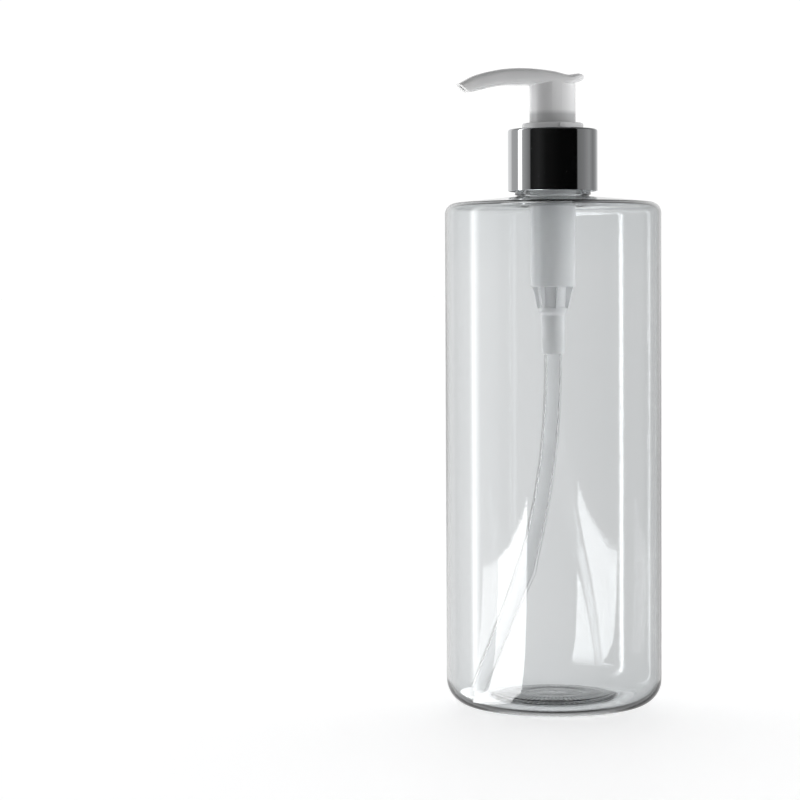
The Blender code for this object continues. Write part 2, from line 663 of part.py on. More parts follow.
def make_actuator(finish):
    bm = bmesh.new()
    close_ends(bm, *swept(bm, head_section(), [head_frame(*station) for station in HEAD_STATIONS]))
    actuator = finished("actuator", bm, finish)
    skirt_top = head_foot + HEAD_STATIONS[5][1] / 2
    skirt = turned("skirt_guide", [(0.0, skirt_top), (skirt_radius, skirt_top), (skirt_radius, skirt_foot),
                                   (0.0, skirt_foot)])
    boss_bore = stem_radius + FIT_GAP
    boss = boss_bore + BOSS_WALL
    below = skirt_foot - SKIRT_WALL
    hollow = turned("hollow_guide", [(0.0, boss_ceiling), (boss_bore, boss_ceiling), (boss_bore, boss_foot),
                                     (boss, boss_foot), (boss, boss_ceiling - SKIRT_WALL),
                                     (skirt_bore, boss_ceiling - SKIRT_WALL), (skirt_bore, below), (0.0, below)])
    boolean(actuator, skirt, "UNION")
    boolean(actuator, hollow, "DIFFERENCE")
    boolean(actuator, make_outlet(), "DIFFERENCE")
    return actuator


def build():
    clear_scene()
    clear_pet = material("clear_pet", (0.82, 0.85, 0.86), 0.05)
    white_pp = material("white_pp", (0.86, 0.86, 0.87), 0.32)
    chrome = material("bright_chrome", (0.75, 0.76, 0.78), 0.06, 1.0)
    frosted_pe = material("frosted_pe", (0.84, 0.85, 0.86), 0.28)
    soft_pe = material("soft_pe", (0.80, 0.81, 0.82), 0.45)
    foam_pe = material("foam_pe", (0.78, 0.79, 0.80), 0.80)
    steel = material("stainless_steel", (0.62, 0.62, 0.64), 0.25, 1.0)
    make_bottle(clear_pet)
    make_closure(white_pp)
    make_collar_shell(chrome)
    make_gasket(foam_pe)
    make_chaplet(white_pp)
    make_stem_seal(soft_pe)
    make_housing(white_pp)
    make_stem(white_pp)
    make_piston_rod(white_pp)
    make_piston(soft_pe)
    make_spring(steel)
    make_ball(steel)
    make_dip_tube(frosted_pe)
    make_actuator(white_pp)


build()
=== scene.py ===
"""Looks of the pump oil bottle: a clear cylinder bottle with a white lotion pump and a bright collar.

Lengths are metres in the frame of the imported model: the bottle stands on z = 0 with its axis on Z
and its spout along -X. Places come from the boxes of the frame's nodes.
"""
import math

import bmesh
import bpy
from mathutils import Matrix, Vector, noise


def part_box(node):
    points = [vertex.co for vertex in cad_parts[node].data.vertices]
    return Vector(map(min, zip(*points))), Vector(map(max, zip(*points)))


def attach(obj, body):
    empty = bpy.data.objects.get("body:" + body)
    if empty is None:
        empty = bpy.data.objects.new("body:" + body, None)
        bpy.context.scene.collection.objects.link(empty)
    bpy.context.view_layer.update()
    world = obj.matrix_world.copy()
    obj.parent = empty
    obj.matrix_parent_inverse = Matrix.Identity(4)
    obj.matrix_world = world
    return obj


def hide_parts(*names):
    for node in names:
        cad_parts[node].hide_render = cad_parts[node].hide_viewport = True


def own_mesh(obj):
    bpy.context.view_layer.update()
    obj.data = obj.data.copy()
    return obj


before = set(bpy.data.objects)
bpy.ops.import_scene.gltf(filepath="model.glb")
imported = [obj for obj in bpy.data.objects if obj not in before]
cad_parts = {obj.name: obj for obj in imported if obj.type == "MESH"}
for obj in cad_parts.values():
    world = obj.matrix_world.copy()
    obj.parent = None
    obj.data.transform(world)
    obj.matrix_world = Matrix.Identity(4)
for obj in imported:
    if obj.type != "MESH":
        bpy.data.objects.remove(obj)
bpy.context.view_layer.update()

MM = 0.001
FRONT_HEADING = -14.0    # degrees from -Y to the side of the bottle that faces the camera


# ---------------------------------------------------------------- shader helpers

class Value:
    """A socket that can be used in arithmetic; every operation adds its Math node."""

    def __init__(self, tree, socket):
        self.tree = tree
        self.socket = socket

    def math(self, operation, *others, clamp=False):
        inputs = dict(enumerate((self, *others)))
        return self.tree.node("ShaderNodeMath", {"operation": operation, "use_clamp": clamp}, inputs)

    def __add__(self, other):
        return self.math("ADD", other)

    def __radd__(self, other):
        return self.math("ADD", other)

    def __sub__(self, other):
        return self.math("SUBTRACT", other)

    def __rsub__(self, other):
        return self.tree.node("ShaderNodeMath", {"operation": "SUBTRACT"}, {0: other, 1: self})

    def __mul__(self, other):
        return self.math("MULTIPLY", other)

    def __rmul__(self, other):
        return self.math("MULTIPLY", other)

    def __truediv__(self, other):
        return self.math("DIVIDE", other)

    def clamped(self):
        return self.math("ADD", 0.0, clamp=True)


class Tree:
    """The node tree of a material or a world."""

    def __init__(self, owner):
        owner.use_nodes = True
        self.nodes = owner.node_tree.nodes
        self.links = owner.node_tree.links
        self.nodes.clear()

    def node(self, kind, settings=None, inputs=None, output=0):
        """Add a node: its settings first, then its sockets by name or number."""
        made = self.nodes.new(kind)
        for name, value in (settings or {}).items():
            if name == "stops":
                self.fill_ramp(made.color_ramp, value)
            else:
                setattr(made, name, value)
        for name, value in (inputs or {}).items():
            socket = self.pick(made.inputs, name)
            if isinstance(value, Value):
                self.links.new(value.socket, socket)
            else:
                socket.default_value = value
        return Value(self, self.pick(made.outputs, output)) if made.outputs else None

    @staticmethod
    def pick(sockets, name):
        """The socket with a number, or the one in use with a name."""
        if isinstance(name, int):
            return sockets[name]
        return next(socket for socket in sockets if socket.name == name and socket.enabled)

    @staticmethod
    def fill_ramp(ramp, stops):
        """Give a ramp its (place, brightness) stops."""
        while len(ramp.elements) < len(stops):
            ramp.elements.new(1.0)
        for element, (position, level) in zip(ramp.elements, stops):
            element.position = position
            element.color = (level, level, level, 1.0)

    def place(self, output="Object"):
        return self.node("ShaderNodeTexCoord", output=output)

    def coordinate(self, axis, where=None):
        """One coordinate, X, Y or Z, of a place."""
        return self.node("ShaderNodeSeparateXYZ", None, {0: where or self.place()}, output=axis)

    def along(self, direction, where=None):
        """How far a place lies along a direction."""
        inputs = {0: where or self.place(), 1: direction}
        return self.node("ShaderNodeVectorMath", {"operation": "DOT_PRODUCT"}, inputs, output="Value")

    def noise(self, scale, detail=2.0, roughness=0.5, where=None):
        inputs = {"Vector": where or self.place(), "Scale": scale, "Detail": detail, "Roughness": roughness}
        return self.node("ShaderNodeTexNoise", None, inputs, output="Fac")

    def stretched(self, scale):
        return self.node("ShaderNodeMapping", None, {"Vector": self.place(), "Scale": scale})

    def mixed(self, share, first, second):
        """A colour between two colours."""
        first, second = (end if isinstance(end, Value) else (*end, 1.0) for end in (first, second))
        inputs = {"Factor": share, "A": first, "B": second}
        return self.node("ShaderNodeMix", {"data_type": "RGBA"}, inputs, output="Result")

    def depth(self, kind, spare=0):
        """1 on a light path that has had more such bounces than the spare ones, otherwise 0."""
        return (self.node("ShaderNodeLightPath", output=f"{kind} Depth") - spare).clamped()

    def bump(self, height, strength, distance):
        inputs = {"Height": height, "Strength": strength, "Distance": distance}
        return self.node("ShaderNodeBump", None, inputs, output="Normal")


def surfaced(name, build):
    """A material whose Principled sockets are what build(tree) returns."""
    made = bpy.data.materials.new(name)
    tree = Tree(made)
    shader = tree.node("ShaderNodeBsdfPrincipled", None, build(tree))
    tree.node("ShaderNodeOutputMaterial", None, {"Surface": shader})
    return made


# ---------------------------------------------------------------- mesh helpers

SAME_PLACE = 1e-7
SHARP = 35.0    # degrees


def shaded(piece, sharp=SHARP):
    """Shade a piece smooth, and leave edges sharp that bend more than an angle in degrees."""
    piece.data.shade_smooth()
    piece.data.set_sharp_from_angle(angle=math.radians(sharp))


def finished(name, bm, body, node, slot, finish=None, sharp=SHARP):
    """Turn a bmesh into a named piece that rides on a body and stands for a node of the frame."""
    bmesh.ops.remove_doubles(bm, verts=bm.verts, dist=SAME_PLACE)
    piece = solid(name, bm)
    piece.data.materials.append(FINISHES[finish or slot])
    shaded(piece, sharp)
    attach(piece, body)
    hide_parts(node)
    return piece


def solid(name, bm):
    """Turn a bmesh into an object with its faces pointing out."""
    bmesh.ops.recalc_face_normals(bm, faces=bm.faces)
    mesh = bpy.data.meshes.new(name)
    bm.to_mesh(mesh)
    bm.free()
    made = bpy.data.objects.new(name, mesh)
    bpy.context.scene.collection.objects.link(made)
    return made


def carve(piece, tool, operation):
    """Join a solid to a piece, or cut it out of the piece, and remove the solid."""
    step = piece.modifiers.new(operation, "BOOLEAN")
    step.operation = operation
    step.object = tool
    step.solver = "EXACT"
    depsgraph = bpy.context.evaluated_depsgraph_get()
    shaped = bpy.data.meshes.new_from_object(piece.evaluated_get(depsgraph))
    piece.modifiers.clear()
    piece.data = shaped
    bpy.data.objects.remove(tool, do_unlink=True)


def arc(centre_r, centre_z, radius, start, end, steps):
    """Points of an arc in the radius-height plane, angles in degrees."""
    points = []
    for i in range(steps + 1):
        angle = math.radians(start + (end - start) * i / steps)
        points.append((centre_r + radius * math.cos(angle), centre_z + radius * math.sin(angle)))
    return points


def rounded(outline, radii, steps=4):
    """Curve the corners of a radius-height outline. A radius of zero leaves a corner sharp."""
    points = []
    for i, (corner, radius) in enumerate(zip(outline, radii)):
        here = Vector(corner)
        if not radius:
            points.append(tuple(here))
            continue
        back = (Vector(outline[i - 1]) - here).normalized()
        ahead = (Vector(outline[(i + 1) % len(outline)]) - here).normalized()
        half = back.angle(ahead) / 2
        setback = radius / math.tan(half)
        start = here + back * setback
        end = here + ahead * setback
        for j in range(steps + 1):
            share = j / steps
            one = start.lerp(here, share)
            two = here.lerp(end, share)
            points.append(tuple(one.lerp(two, share)))
    return points


def spun(outline, steps):
    """Spin a radius-height outline about Z. An outline that ends on the axis stays open there."""
    bm = bmesh.new()
    verts = [bm.verts.new((r, 0.0, z)) for r, z in outline]
    pairs = list(zip(verts, verts[1:]))
    if outline[0][0] > 0.0 or outline[-1][0] > 0.0:
        pairs.append((verts[-1], verts[0]))
    edges = [bm.edges.new(pair) for pair in pairs]
    bmesh.ops.spin(bm, geom=verts + edges, cent=(0, 0, 0), axis=(0, 0, 1),
                   angle=math.tau, steps=steps, use_merge=True)
    bmesh.ops.remove_doubles(bm, verts=bm.verts, dist=SAME_PLACE)
    return bm


def swept(bm, profile, frames):
    """Carry a closed flat profile through frames. Returns the first and the last loop of edges."""
    verts = [bm.verts.new(frames[0] @ Vector((x, y, 0.0))) for x, y in profile]
    first = [bm.edges.new((verts[i - 1], verts[i])) for i in range(len(verts))]
    loop = first
    for before, after in zip(frames, frames[1:]):
        out = bmesh.ops.extrude_edge_only(bm, edges=loop)["geom"]
        moved = [item for item in out if isinstance(item, bmesh.types.BMVert)]
        fresh = set(moved)
        loop = [item for item in out if isinstance(item, bmesh.types.BMEdge)
                and fresh.issuperset(item.verts)]
        bmesh.ops.transform(bm, verts=moved, matrix=after @ before.inverted())
    return first, loop


def close_ends(bm, *loops):
    for loop in loops:
        bmesh.ops.edgeloop_fill(bm, edges=loop)


def circle(radius, steps):
    return [(radius * math.cos(math.tau * i / steps), radius * math.sin(math.tau * i / steps))
            for i in range(steps)]


def eased(keys, x):
    """A smooth curve through (x, value) keys: Catmull-Rom with one-sided slopes at the ends."""
    if x <= keys[0][0]:
        return keys[0][1]
    if x >= keys[-1][0]:
        return keys[-1][1]
    i = max(j for j in range(len(keys) - 1) if keys[j][0] <= x)
    (x0, y0), (x1, y1) = keys[i], keys[i + 1]
    before = keys[i - 1] if i else keys[i]
    after = keys[i + 2] if i + 2 < len(keys) else keys[i + 1]
    slope0 = (y1 - before[1]) / (x1 - before[0])
    slope1 = (after[1] - y0) / (after[0] - x0)
    t = (x - x0) / (x1 - x0)
    width = x1 - x0
    return ((2 * t ** 3 - 3 * t ** 2 + 1) * y0 + (t ** 3 - 2 * t ** 2 + t) * width * slope0
            + (3 * t ** 2 - 2 * t ** 3) * y1 + (t ** 3 - t ** 2) * width * slope1)


# ---------------------------------------------------------------- sizes

# Sides of a turned piece: the bottle, a large piece and a small one
BODY_STEPS = 288
ROUND_STEPS = 128
SMALL_STEPS = 96

# Bottle and threads
WALL = 1.0 * MM
BASE_WALL = 1.4 * MM
BASE_CORNER = 8.0 * MM
SHOULDER_CORNER = 3.5 * MM
NECK_HEIGHT = 16.9 * MM
SHOULDER_RISE = 1.7 * MM
NECK_RADIUS = 10.8 * MM
NECK_BORE = 9.4 * MM
RING_HEIGHT = 3.5 * MM
THREAD_DEPTH = 1.15 * MM
THREAD_PITCH = 3.175 * MM
THREAD_BASE = 1.8 * MM
THREAD_CREST = 0.9 * MM
THREAD_DROP = 9.4 * MM
NECK_THREAD = (-30.0, 630.0)    # where it starts and how far it runs, in degrees
CAP_THREAD = (90.0, 450.0)
THREAD_FADE = 40.0    # degrees over which a thread rises from nothing at its ends
THREAD_ROW = 0.16 * MM
BASE_RIBS = 72
BASE_RIB_INNER = 15.2 * MM
BASE_RIB_OUTER = 18.4 * MM
BASE_RIB_HEIGHT = 0.32 * MM
BASE_RIB_BELOW = 1.88 * MM
EVEN_END = 12 * MM    # the wall's inside keeps even this far up from the foot
WALL_WANDER = 0.10 * MM

# Pump
COLLAR_WALL = 0.4 * MM
COLLAR_HOLE = 10.2 * MM
CAP_BORE = 12.25 * MM
CAP_HOLE = 8.55 * MM
CAP_TOP = 1.0 * MM
NIB_HEADING = -89.0
NIB_SIZE = (1.9 * MM, 2.1 * MM, 1.5 * MM)
SKIRT_RADIUS = 7.25 * MM
SKIRT_BORE = 6.15 * MM
STEM_SOCKET = 3.8 * MM
SOCKET_OUTER = 4.75 * MM
STEM_RADIUS = 3.5 * MM
STEM_BORE = 2.2 * MM
CHANNEL_RADIUS = 1.15 * MM
HEAD_LIFT = 13.7 * MM    # from the collar's top to the head's underside, pump out
FIN_COUNT = 6
FIN_THICKNESS = 0.9 * MM
VENT_RADIUS = 0.5 * MM
FIT_GAP = 0.3 * MM

bottle_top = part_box("bottle")[1].z
body_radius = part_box("bottle")[1].x
neck_root = bottle_top - NECK_HEIGHT
shoulder_height = neck_root - SHOULDER_RISE
skirt_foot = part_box("actuator")[0].z
head_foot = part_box("collar_shell")[1].z + HEAD_LIFT


# ---------------------------------------------------------------- finishes

def clear_pet(tree):
    height = tree.coordinate("Z")
    top = ((height - shoulder_height * 0.86) / (shoulder_height * 0.14)).clamped()
    foot = (1 - height / (18 * MM)).clamped()
    cloud = tree.noise(38.0, 2.0)
    thick = (top * 0.55 + foot * 0.60 + cloud * 0.25).clamped()
    sag = tree.noise(16.0, 1.0, where=tree.stretched((1.0, 1.0, 0.25)))
    fine = tree.noise(700.0, 2.0)
    return {
        "Base Color": tree.mixed(thick, (0.905, 0.915, 0.920), (0.850, 0.868, 0.876)),
        "Roughness": 0.018 + fine * 0.014,
        "Transmission Weight": 1.0,
        "IOR": 1.57,
        "Normal": tree.bump(sag * 0.9 + fine * 0.02, 0.25, 0.8 * MM),
    }


def moulded_pp(light, dark, gloss, haze=0.0):
    """White polypropylene: satin, with the faint mottle and grain of a moulded face."""
    def build(tree):
        mottle = tree.noise(120.0, 3.0, 0.6)
        grain = tree.noise(5200.0, 2.0)
        flow = tree.noise(260.0, 2.0, where=tree.stretched((1.0, 1.0, 0.2)))
        return {
            "Base Color": tree.mixed(mottle, light, dark),
            "Roughness": gloss + mottle * 0.06 + grain * 0.05,
            "IOR": 1.49,
            "Subsurface Weight": haze,
            "Subsurface Radius": (1.0, 1.0, 1.0),
            "Subsurface Scale": 0.6 * MM,
            "Normal": tree.bump(flow * 0.6 + grain * 0.12, 0.30, 0.06 * MM),
        }
    return build


def spout_pp(tree):
    """The head's white, with painted shade low on the skirt round its hollow and painted light at the thin
    outlet.
    """
    sockets = moulded_pp((0.915, 0.917, 0.922), (0.880, 0.883, 0.892), 0.12, 0.35)(tree)
    # Painted shade: a band low on the skirt, round its hollow, greys towards (0.48, 0.485, 0.49) to stand in
    # for the shade there.
    hollow = ((skirt_foot + 6.4 * MM - tree.coordinate("Z")) / (1.4 * MM)).clamped() * 0.75
    # Painted light: past x = -24 mm the spout whitens towards 0.985, standing in for light showing through the
    # thin tip.
    tip = ((-24 * MM - tree.coordinate("X")) / (3 * MM)).clamped()
    with_painted_shade = tree.mixed(hollow, sockets["Base Color"], (0.48, 0.485, 0.49))
    sockets["Base Color"] = tree.mixed(tip, with_painted_shade, (0.985, 0.985, 0.985))
    return sockets


def bright_metal(tree):
    swirl = tree.noise(90.0, 2.0, where=tree.stretched((1.0, 1.0, 0.15)))
    drawn = tree.noise(2600.0, 2.0, where=tree.stretched((1.0, 1.0, 0.03)))
    return {
        "Base Color": tree.mixed(swirl, (0.780, 0.790, 0.805), (0.740, 0.755, 0.770)),
        "Metallic": 1.0,
        "Roughness": 0.045 + drawn * 0.035,
        "Normal": tree.bump(swirl * 0.5 + drawn * 0.03, 0.20, 0.10 * MM),
    }


def frosted_pe(tree):
    die_lines = tree.noise(1500.0, 2.0, where=tree.stretched((1.0, 1.0, 0.02)))
    cloud = tree.noise(140.0, 2.0)
    return {
        "Base Color": tree.mixed(cloud, (0.985, 0.988, 0.990), (0.965, 0.970, 0.975)),
        "Roughness": 0.15 + cloud * 0.06 + die_lines * 0.04,
        "Transmission Weight": 0.93,
        "IOR": 1.20,
        "Normal": tree.bump(die_lines, 0.15, 0.02 * MM),
    }


def soft_pe(tree):
    cloud = tree.noise(200.0, 3.0)
    return {
        "Base Color": tree.mixed(cloud, (0.80, 0.81, 0.82), (0.72, 0.73, 0.74)),
        "Roughness": 0.46 + cloud * 0.12,
        "Normal": tree.bump(cloud, 0.2, 0.05 * MM),
    }


def foam_pe(tree):
    cells = tree.noise(3200.0, 3.0, 0.7)
    return {
        "Base Color": tree.mixed(cells, (0.84, 0.84, 0.84), (0.66, 0.66, 0.67)),
        "Roughness": 0.78 + cells * 0.16,
        "Normal": tree.bump(cells, 0.6, 0.08 * MM),
    }


def drawn_steel(tree):
    draw = tree.noise(2400.0, 2.0)
    return {
        "Base Color": tree.mixed(draw, (0.66, 0.66, 0.68), (0.52, 0.52, 0.54)),
        "Metallic": 1.0,
        "Roughness": 0.20 + draw * 0.14,
        "Normal": tree.bump(draw, 0.2, 0.02 * MM),
    }


FINISHES = {
    "clear_pet": surfaced("clear_pet", clear_pet),
    "white_pp": surfaced("white_pp", moulded_pp((0.895, 0.897, 0.903), (0.855, 0.858, 0.868), 0.12, 0.30)),
    "spout_pp": surfaced("spout_pp", spout_pp),
    "natural_pp": surfaced("natural_pp", moulded_pp((0.880, 0.886, 0.892), (0.840, 0.847, 0.855), 0.13, 0.30)),
    "bright_chrome": surfaced("bright_chrome", bright_metal),
    "frosted_pe": surfaced("frosted_pe", frosted_pe),
    "soft_pe": surfaced("soft_pe", soft_pe),
    "foam_pe": surfaced("foam_pe", foam_pe),
    "stainless_steel": surfaced("stainless_steel", drawn_steel),
}


# ---------------------------------------------------------------- clear bottle

def base_outline():
    """The underside from the gate mark at the centre to the foot ring."""
    steps = [(0.0, 2.02), (1.2, 2.04), (2.4, 2.15), (8.6, 2.15), (9.0, 1.95), (9.6, 1.95),
             (10.0, 2.15), (14.6, 2.05), (15.2, 1.85), (16.2, 1.80), (17.3, 1.75), (18.4, 1.70),
             (18.8, 1.30), (19.5, 1.25), (19.9, 0.70), (20.2, 0.18), (20.7, 0.0), (23.5, 0.0)]
    return [(r * MM, z * MM) for r, z in steps]


def bottle_outline():
    """Outside from the base's centre to the neck land, then inside back down to the centre."""
    corner_r = body_radius - BASE_CORNER
    shoulder_r = body_radius - SHOULDER_CORNER
    shoulder_z = shoulder_height - SHOULDER_CORNER
    thread_radius = NECK_RADIUS + THREAD_DEPTH
    ring_foot = neck_root + 0.6 * MM
    ring_top = neck_root + RING_HEIGHT
    outside = base_outline()
    outside += arc(corner_r, BASE_CORNER, BASE_CORNER, -90, 0, 20)
    outside += [(body_radius, 0.3 * shoulder_z + 0.7 * BASE_CORNER), (body_radius, shoulder_z / 2),
                (body_radius, 0.75 * shoulder_z)]
    outside += arc(shoulder_r, shoulder_z, SHOULDER_CORNER, 0, 86, 14)
    outside += [(20 * MM, neck_root - 0.55 * MM), (14.6 * MM, neck_root - 0.08 * MM)]
    outside += [(13.1 * MM, neck_root), (12.2 * MM, neck_root + 0.02 * MM),
                (11.6 * MM, neck_root + 0.10 * MM), (11.4 * MM, neck_root + 0.30 * MM),
                (11.4 * MM, ring_foot - 0.1 * MM), (11.55 * MM, ring_foot)]
    outside += arc(thread_radius - 0.25 * MM, ring_foot + 0.25 * MM, 0.25 * MM, -90, 0, 3)
    outside += arc(thread_radius - 0.3 * MM, ring_top - 0.3 * MM, 0.3 * MM, 0, 90, 3)
    outside += [(NECK_RADIUS + 0.15 * MM, ring_top), (NECK_RADIUS, ring_top + 0.15 * MM)]
    rows = int((bottle_top - ring_top - 0.6 * MM) / THREAD_ROW)
    outside += [(NECK_RADIUS, ring_top + 0.3 * MM + i * THREAD_ROW) for i in range(rows)]
    outside += arc(NECK_RADIUS - 0.25 * MM, bottle_top - 0.25 * MM, 0.25 * MM, 0, 90, 3)
    inside = [(NECK_BORE + 0.2 * MM, bottle_top), (NECK_BORE, bottle_top - 0.2 * MM)]
    inside += [(NECK_BORE, neck_root + 2 * MM), (NECK_BORE, neck_root - 0.2 * MM)]
    inside += arc(NECK_BORE + 1.3 * MM, neck_root + 0.3 * MM, 1.3 * MM, -180, -93, 6)
    inside += [(15 * MM, neck_root - WALL - 0.12 * MM), (20 * MM, neck_root - WALL - 0.55 * MM)]
    inside += arc(shoulder_r, shoulder_z, SHOULDER_CORNER - WALL, 86, 0, 12)
    inside += [(body_radius - WALL, 0.75 * shoulder_z), (body_radius - WALL, shoulder_z / 2),
               (body_radius - WALL, 0.3 * shoulder_z + 0.7 * BASE_CORNER)]
    inside += arc(corner_r, BASE_WALL + BASE_CORNER - WALL, BASE_CORNER - WALL, 0, -90, 16)
    inside += [(r, z * 0.85 + BASE_WALL) for r, z in reversed(base_outline()[:-1])]
    return outside + inside


def thread_share(angle, height, thread, lag):
    """How much of a thread's depth stands at an angle in degrees and a height, from 0 to 1."""
    start, sweep = thread
    best = 0.0
    turn = angle % 360 + 360 * math.floor(start / 360)
    while turn <= start + sweep:
        if turn >= start:
            off = abs(height - (bottle_top - THREAD_DROP + THREAD_PITCH * (turn / 360 - lag)))
            run = min(turn - start, start + sweep - turn) / THREAD_FADE
            flank = (THREAD_BASE - 2 * off) / (THREAD_BASE - THREAD_CREST)
            best = max(best, min(1.0, max(0.0, flank)) * min(1.0, run) ** 0.5)
        turn += 360
    return best


def raise_thread(bm, wall, low, high, depth, thread, lag=0.0):
    """Move a round wall's rows out by a helical thread's depth, or in where the depth is below zero."""
    for vert in bm.verts:
        radius = math.hypot(vert.co.x, vert.co.y)
        if abs(radius - wall) < 0.02 * MM and low < vert.co.z < high:
            angle = math.degrees(math.atan2(vert.co.y, vert.co.x))
            grown = (radius + thread_share(angle, vert.co.z, thread, lag) * depth) / radius
            vert.co.x *= grown
            vert.co.y *= grown


def raise_base_ribs(bm):
    """Short radial stacking ribs round the pushed-up base."""
    for vert in bm.verts:
        radius = math.hypot(vert.co.x, vert.co.y)
        if vert.co.z < BASE_RIB_BELOW and BASE_RIB_INNER - 0.05 * MM < radius < BASE_RIB_OUTER + 0.05 * MM:
            angle = math.atan2(vert.co.y, vert.co.x)
            wave = abs((angle * BASE_RIBS / math.tau) % 1.0 - 0.5) * 2
            vert.co.z -= BASE_RIB_HEIGHT * wave


def wander_wall(bm):
    """The blown wall's inside is a little uneven, which the outside is not."""
    for vert in bm.verts:
        radius = math.hypot(vert.co.x, vert.co.y)
        upright = body_radius - 6 * WALL < radius < body_radius - 0.5 * WALL
        if upright and EVEN_END < vert.co.z < shoulder_height - 8 * MM:
            swell = noise.noise(Vector((vert.co.x * 40, vert.co.y * 40, vert.co.z * 18)))
            shift = 1 + swell * WALL_WANDER / radius
            vert.co.x *= shift
            vert.co.y *= shift


def make_bottle():
    bm = spun(bottle_outline(), BODY_STEPS)
    ring_top = neck_root + RING_HEIGHT
    raise_thread(bm, NECK_RADIUS, ring_top + 0.2 * MM, bottle_top - 0.3 * MM, THREAD_DEPTH, NECK_THREAD)
    raise_base_ribs(bm)
    wander_wall(bm)
    return finished("clear_bottle", bm, "bottle_body", "bottle", "clear_pet")


# ---------------------------------------------------------------- collar

def make_collar_shell():
    low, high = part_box("collar_shell")
    outer, foot, top = high.x, low.z, high.z
    inner, ceiling = outer - COLLAR_WALL, top - COLLAR_WALL
    outline = [(COLLAR_HOLE, top), (outer, top), (outer, foot), (inner, foot), (inner, ceiling),
               (COLLAR_HOLE, ceiling)]
    radii = [0.12 * MM, 0.8 * MM, 0.15 * MM, 0.15 * MM, 0.4 * MM, 0.12 * MM]
    bm = spun(rounded(outline, radii, 8), ROUND_STEPS)
    return finished("bright_collar", bm, "collar", "collar_shell", "bright_chrome")


def make_closure():
    """Screw cap with its inside thread, a helical ridge in fine rows, half a turn behind the neck's."""
    low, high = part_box("closure")
    outer, foot, top = high.x, low.z, high.z
    ceiling = top - CAP_TOP
    rows = int((ceiling - foot - 0.8 * MM) / THREAD_ROW)
    inside = [(CAP_BORE, foot + 0.4 * MM + i * THREAD_ROW) for i in range(rows)]
    outline = [(CAP_HOLE, top), (outer - 0.5 * MM, top), (outer, top - 0.5 * MM), (outer, foot + 0.2 * MM),
               (outer - 0.2 * MM, foot), (CAP_BORE + 0.2 * MM, foot), (CAP_BORE, foot + 0.2 * MM)]
    outline += inside + [(CAP_BORE, ceiling), (CAP_HOLE, ceiling)]
    bm = spun(outline, ROUND_STEPS)
    crest = NECK_RADIUS + 0.35 * MM
    raise_thread(bm, CAP_BORE, foot + FIT_GAP, ceiling - FIT_GAP, crest - CAP_BORE, CAP_THREAD, lag=0.5)
    return finished("screw_cap", bm, "collar", "closure", "white_pp")


# ---------------------------------------------------------------- pump, above the neck

def make_chaplet():
    """Ring that holds the pump in its cap, with the sleeve round the stem and the nib that marks it."""
    low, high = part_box("chaplet")
    foot, top = low.z, high.z
    rim, barrel, bore = 9.65 * MM, 8.15 * MM, 7.55 * MM
    rim_foot = top - 2.3 * MM
    floor = foot + 1.2 * MM
    outline = [(bore, top), (rim, top), (rim, rim_foot), (barrel, rim_foot), (barrel, foot), (3.8 * MM, foot),
               (3.8 * MM, floor + 6.5 * MM), (5.0 * MM, floor + 6.5 * MM), (5.0 * MM, floor), (bore, floor)]
    radii = [0.25 * MM, 0.75 * MM, 0.1 * MM, 0, 0.3 * MM, 0.2 * MM, 0.2 * MM, 0.2 * MM, 0.3 * MM, 0.3 * MM]
    ring = spun(rounded(outline, radii, 5), SMALL_STEPS)
    piece = finished("retaining_ring", ring, "pump_core", "chaplet", "white_pp")
    nib = bmesh.new()
    turn = Matrix.Rotation(math.radians(NIB_HEADING), 4, "Z")
    place = Matrix.Translation((rim + 0.2 * MM, 0.0, top - 0.95 * MM))
    bmesh.ops.create_cube(nib, size=1.0, matrix=turn @ place @ Matrix.Diagonal((*NIB_SIZE, 1.0)))
    bmesh.ops.bevel(nib, geom=nib.edges[:], offset=0.22 * MM, segments=3, profile=0.5, affect="EDGES",
                    material=-1)
    carve(piece, solid("nib", nib), "UNION")
    shaded(piece)
    return piece


HEAD_STATIONS = (
    # x, centre height over the head's underside, half height, half width (mm), tilt (degrees)
    (-29.50, -1.20, 1.90, 3.1, 51.0),
    (-27.60, -0.55, 2.15, 3.4, 36.0),
    (-24.80, 0.50, 2.40, 3.8, 21.0),
    (-20.50, 1.65, 2.45, 4.3, 13.0),
    (-16.00, 2.40, 2.50, 5.0, 6.0),
    (-11.00, 2.60, 2.60, 5.9, 0.0),
    (-6.00, 2.50, 2.45, 6.8, -4.0),
    (-1.00, 2.05, 2.25, 7.35, -7.0),
    (3.50, 1.50, 1.80, 7.4, -2.0),
    (6.00, 2.05, 1.50, 7.0, 5.0),
    (8.00, 2.45, 1.25, 5.8, 8.0),
    (8.80, 2.40, 0.85, 4.4, 0.0),
)
HEAD_POWER = 3.2
HEAD_SHARP = 42.0
TIP_STATIONS = 4    # stations of the sloping spout
SPOUT_ROOT = 5      # the station where the outlet has turned into the spout


def head_section(steps=64):
    """A unit rounded rectangle: a superellipse."""
    power = 2 / HEAD_POWER
    points = []
    for i in range(steps):
        angle = math.tau * i / steps
        across = math.copysign(abs(math.cos(angle)) ** power, math.cos(angle))
        up = math.copysign(abs(math.sin(angle)) ** power, math.sin(angle))
        points.append((across, up))
    return points


